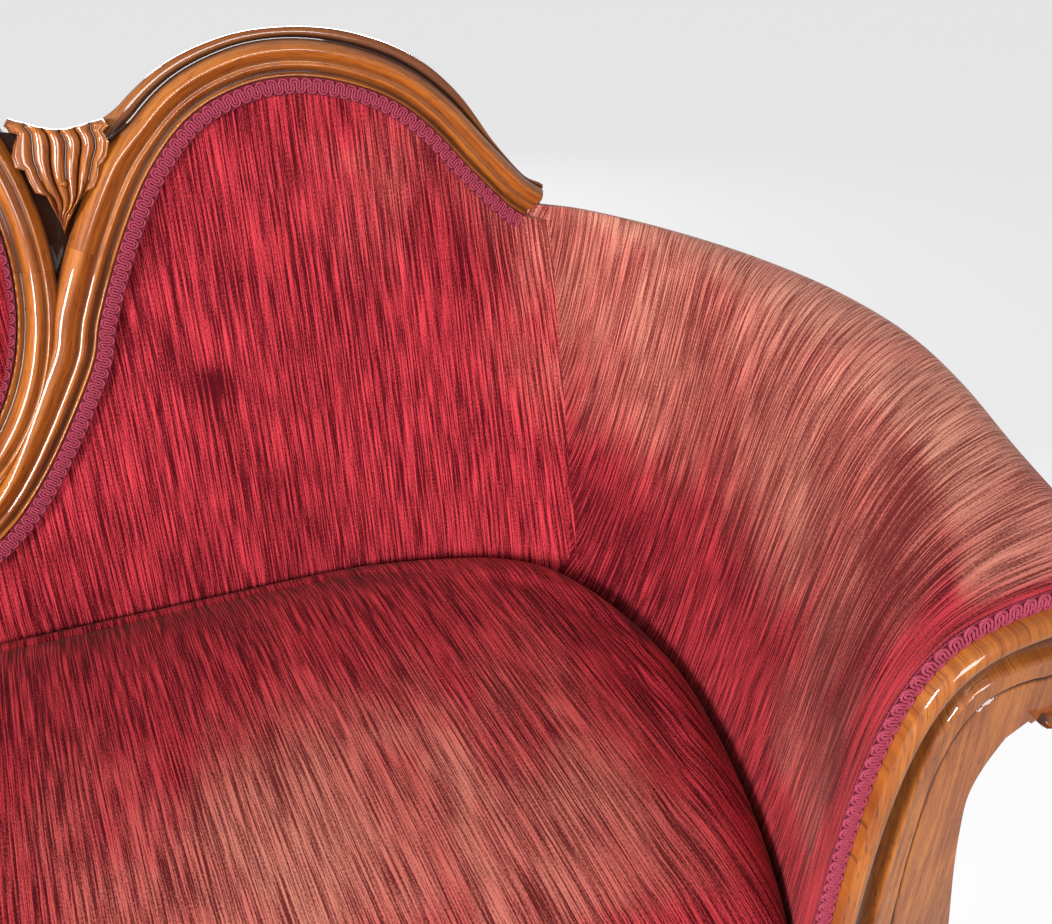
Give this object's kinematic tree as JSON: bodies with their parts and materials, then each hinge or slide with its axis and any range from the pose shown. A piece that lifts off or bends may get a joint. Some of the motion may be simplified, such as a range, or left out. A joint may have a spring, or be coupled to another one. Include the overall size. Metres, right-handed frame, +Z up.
{
  "type": "chair-back settee",
  "caption": "Two-seat show-wood settee with humped back panels, central oval medallion, rolled arms with scroll facings, bowed sprung seat and cabriole front legs.",
  "frame": {"origin": "under the middle of the settee's box, at the floor", "axes": "+X along the settee to the right as seen from the front, +Y towards the back, +Z up"},
  "size_m": [1.906, 0.825, 1.092],
  "materials": {
    "show_wood": "polished red-brown walnut, glossy",
    "inner_frame": "plain sawn beech",
    "velvet": "crimson cut velvet with fine irregular stripes, worn to dusty rose",
    "gimp": "dusty rose scroll braid",
    "dust_cloth": "black cambric",
    "jute": "woven jute",
    "spring_steel": "drawn wire"
  },
  "bodies": {
    "root": {"crest_rail_right": "show_wood", "crest_rail_left": "show_wood", "back_stile_right": "show_wood", "back_stile_left": "show_wood", "medallion_ring_upper": "show_wood", "medallion_ring_lower": "show_wood", "shoulder_leaf_right": "show_wood", "shoulder_leaf_left": "show_wood", "medallion_cresting": "show_wood", "arm_facing_right": "show_wood", "arm_facing_left": "show_wood", "facing_leaf_right": "show_wood", "facing_leaf_left": "show_wood", "front_apron": "show_wood", "apron_carving": "show_wood", "front_leg_right": "show_wood", "front_leg_left": "show_wood", "rear_leg_right": "show_wood", "rear_leg_left": "show_wood", "hump_upright_right": "inner_frame", "hump_upright_left": "inner_frame", "centre_upright": "inner_frame", "back_seat_rail": "inner_frame", "side_seat_rail_right": "inner_frame", "side_seat_rail_left": "inner_frame", "front_seat_rail": "inner_frame", "front_corner_block_right": "inner_frame", "front_corner_block_left": "inner_frame", "rear_corner_block_right": "inner_frame", "rear_corner_block_left": "inner_frame", "arm_rail_right": "inner_frame", "arm_rail_left": "inner_frame", "arm_stump_right": "inner_frame", "arm_stump_left": "inner_frame", "arm_pad_right": "velvet", "arm_pad_left": "velvet", "back_pad_right": "velvet", "back_pad_left": "velvet", "medallion_pad": "velvet", "seat_pad": "velvet", "outside_arm_cover_right": "velvet", "outside_arm_cover_left": "velvet", "outside_back_cover": "velvet", "hump_gimp_right": "gimp", "hump_gimp_left": "gimp", "medallion_gimp": "gimp", "facing_gimp_right": "gimp", "facing_gimp_left": "gimp", "seat_gimp": "gimp", "dust_cover": "dust_cloth", "seat_deck": "jute", "seat_webbing": "jute", "seat_spring_1": "spring_steel", "seat_spring_2": "spring_steel", "seat_spring_3": "spring_steel", "seat_spring_4": "spring_steel", "seat_spring_5": "spring_steel", "seat_spring_6": "spring_steel", "seat_spring_7": "spring_steel", "seat_spring_8": "spring_steel"}
  },
  "joints": []
}
